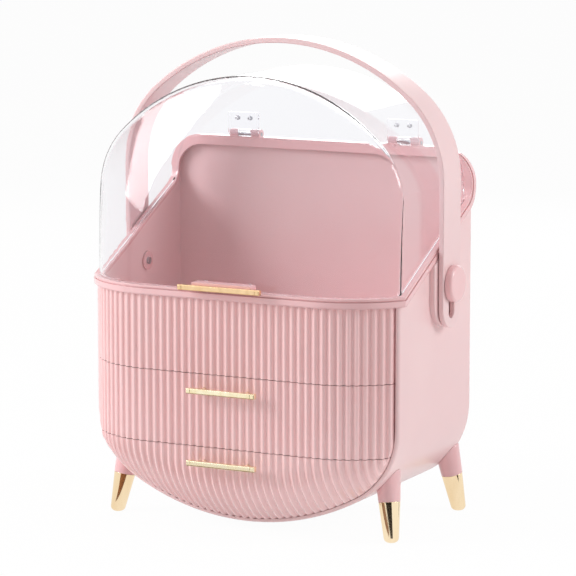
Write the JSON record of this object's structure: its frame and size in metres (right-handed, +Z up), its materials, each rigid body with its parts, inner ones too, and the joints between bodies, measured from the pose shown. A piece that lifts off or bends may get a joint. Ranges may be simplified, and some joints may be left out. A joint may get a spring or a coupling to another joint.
{
  "type": "makeup storage case",
  "caption": "Free-standing vanity case: fluted rounded drawer casing on splayed legs, open tray under a hinged clear hood, sliding drawers and a folding bail handle.",
  "frame": {"origin": "middle of the footprint on the floor", "axes": "+X across to the right seen from the front, +Y from the ribbed front to the back, +Z up"},
  "size_m": [0.3122, 0.1984, 0.402],
  "materials": {
    "pink_shell": "satin moulded plastic, rose pink",
    "pink_trim": "satin moulded plastic, rose pink",
    "pink_ribbed": "satin moulded plastic, fluted, rose pink",
    "pink_inner": "plain moulded plastic, rose pink",
    "pink_handle": "satin moulded plastic, rose pink",
    "clear_hood": "clear moulded plastic, polished",
    "pull_gold": "bright pale gold plating",
    "hood_gold": "bright rose gold plating",
    "foot_gold": "polished gold plating",
    "screw_steel": "plain steel",
    "pin_steel": "plain steel"
  },
  "bodies": {
    "casing": {"casing": "pink_shell", "rim_frame": "pink_trim", "upper_panel": "pink_ribbed", "tray_floor": "pink_inner", "drawer_shelf": "pink_inner", "runners": "pink_inner", "hinge_brackets": "pink_trim", "bracket_screws": "screw_steel", "hinge_pins": "pin_steel", "leg_front_left": "pink_shell", "leg_back_left": "pink_shell", "leg_front_right": "pink_shell", "leg_back_right": "pink_shell", "foot_front_left": "foot_gold", "foot_back_left": "foot_gold", "foot_front_right": "foot_gold", "foot_back_right": "foot_gold"},
    "hood": {"hood": "clear_hood", "hood_tab": "pink_trim", "hood_pull": "hood_gold", "hood_screws": "screw_steel", "hinge_leaves": "clear_hood", "leaf_screws": "screw_steel"},
    "upper_drawer": {"upper_tub": "pink_inner", "upper_front": "pink_ribbed", "upper_pull": "pull_gold", "upper_pull_screws": "screw_steel"},
    "lower_drawer": {"lower_tub": "pink_inner", "lower_front": "pink_ribbed", "lower_pull": "pull_gold", "lower_pull_screws": "screw_steel"},
    "pivots": {"pivot_cap_left": "pink_trim", "pivot_cap_right": "pink_trim", "pivot_washers": "pink_trim", "pivot_screws": "screw_steel"},
    "handle": {"handle": "pink_handle"}
  },
  "joints": [
    {"name": "hood_hinge", "type": "hinge", "parent": "casing", "child": "hood", "pos_m": [0, 0.0951, 0.3106], "axis": [-1, 0, 0], "range_deg": [0, 100]},
    {"name": "handle_fold", "type": "hinge", "parent": "casing", "child": "pivots", "pos_m": [0, 0.0275, 0.205], "axis": [-1, 0, 0], "range_deg": [0, 100]},
    {"name": "handle_lift", "type": "slide", "parent": "pivots", "child": "handle", "axis": [0, 0, 1], "range_m": [0, 0.023]},
    {"name": "upper_drawer_slide", "type": "slide", "parent": "casing", "child": "upper_drawer", "axis": [0, -1, 0], "range_m": [0, 0.11]},
    {"name": "lower_drawer_slide", "type": "slide", "parent": "casing", "child": "lower_drawer", "axis": [0, -1, 0], "range_m": [0, 0.11]}
  ],
  "couplings": [
    {"joint": "handle_fold", "follows": "hood_hinge", "ratio": 1}
  ]
}
